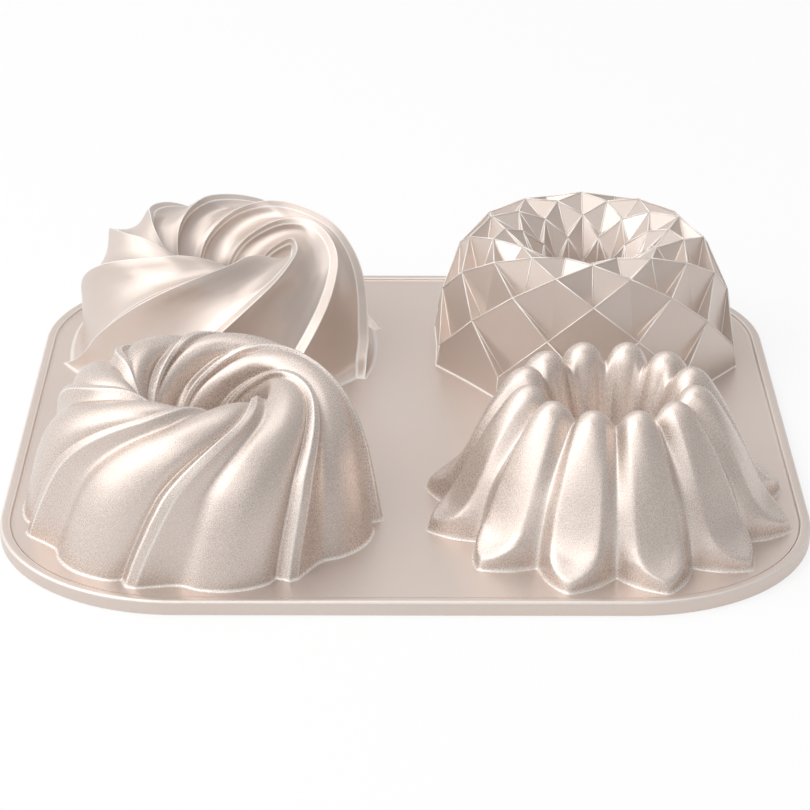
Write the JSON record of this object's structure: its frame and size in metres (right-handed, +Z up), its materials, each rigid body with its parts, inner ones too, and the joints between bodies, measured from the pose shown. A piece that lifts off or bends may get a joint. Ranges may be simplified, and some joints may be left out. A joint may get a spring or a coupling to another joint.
{
  "type": "fluted tube pan",
  "caption": "Square cast cake tray with rounded corners and fluted ring cavities in different patterns, each round an open centre tube, lying upside down on its rim.",
  "frame": {"origin": "centre of the tray on the plane that its rim rests on, with the moulds standing up as in the picture", "axes": "+Z up, from the resting plane to the crowns of the moulds; -Y towards the side that faces the camera, +X to its right"},
  "size_m": [0.33, 0.33, 0.0664],
  "materials": {
    "champagne_coat": "satin champagne coating with a fine metallic grain on cast aluminium"
  },
  "bodies": {
    "root": {"rim": "champagne_coat", "deck_back_right": "champagne_coat", "facet_wall": "champagne_coat", "facet_crown": "champagne_coat", "facet_funnel": "champagne_coat", "facet_tube": "champagne_coat", "deck_back_left": "champagne_coat", "blade_wall": "champagne_coat", "blade_crown": "champagne_coat", "blade_funnel": "champagne_coat", "blade_tube": "champagne_coat", "deck_front_left": "champagne_coat", "swirl_wall": "champagne_coat", "swirl_crown": "champagne_coat", "swirl_funnel": "champagne_coat", "swirl_tube": "champagne_coat", "deck_front_right": "champagne_coat", "petal_wall": "champagne_coat", "petal_crown": "champagne_coat", "petal_funnel": "champagne_coat", "petal_tube": "champagne_coat"}
  },
  "joints": []
}
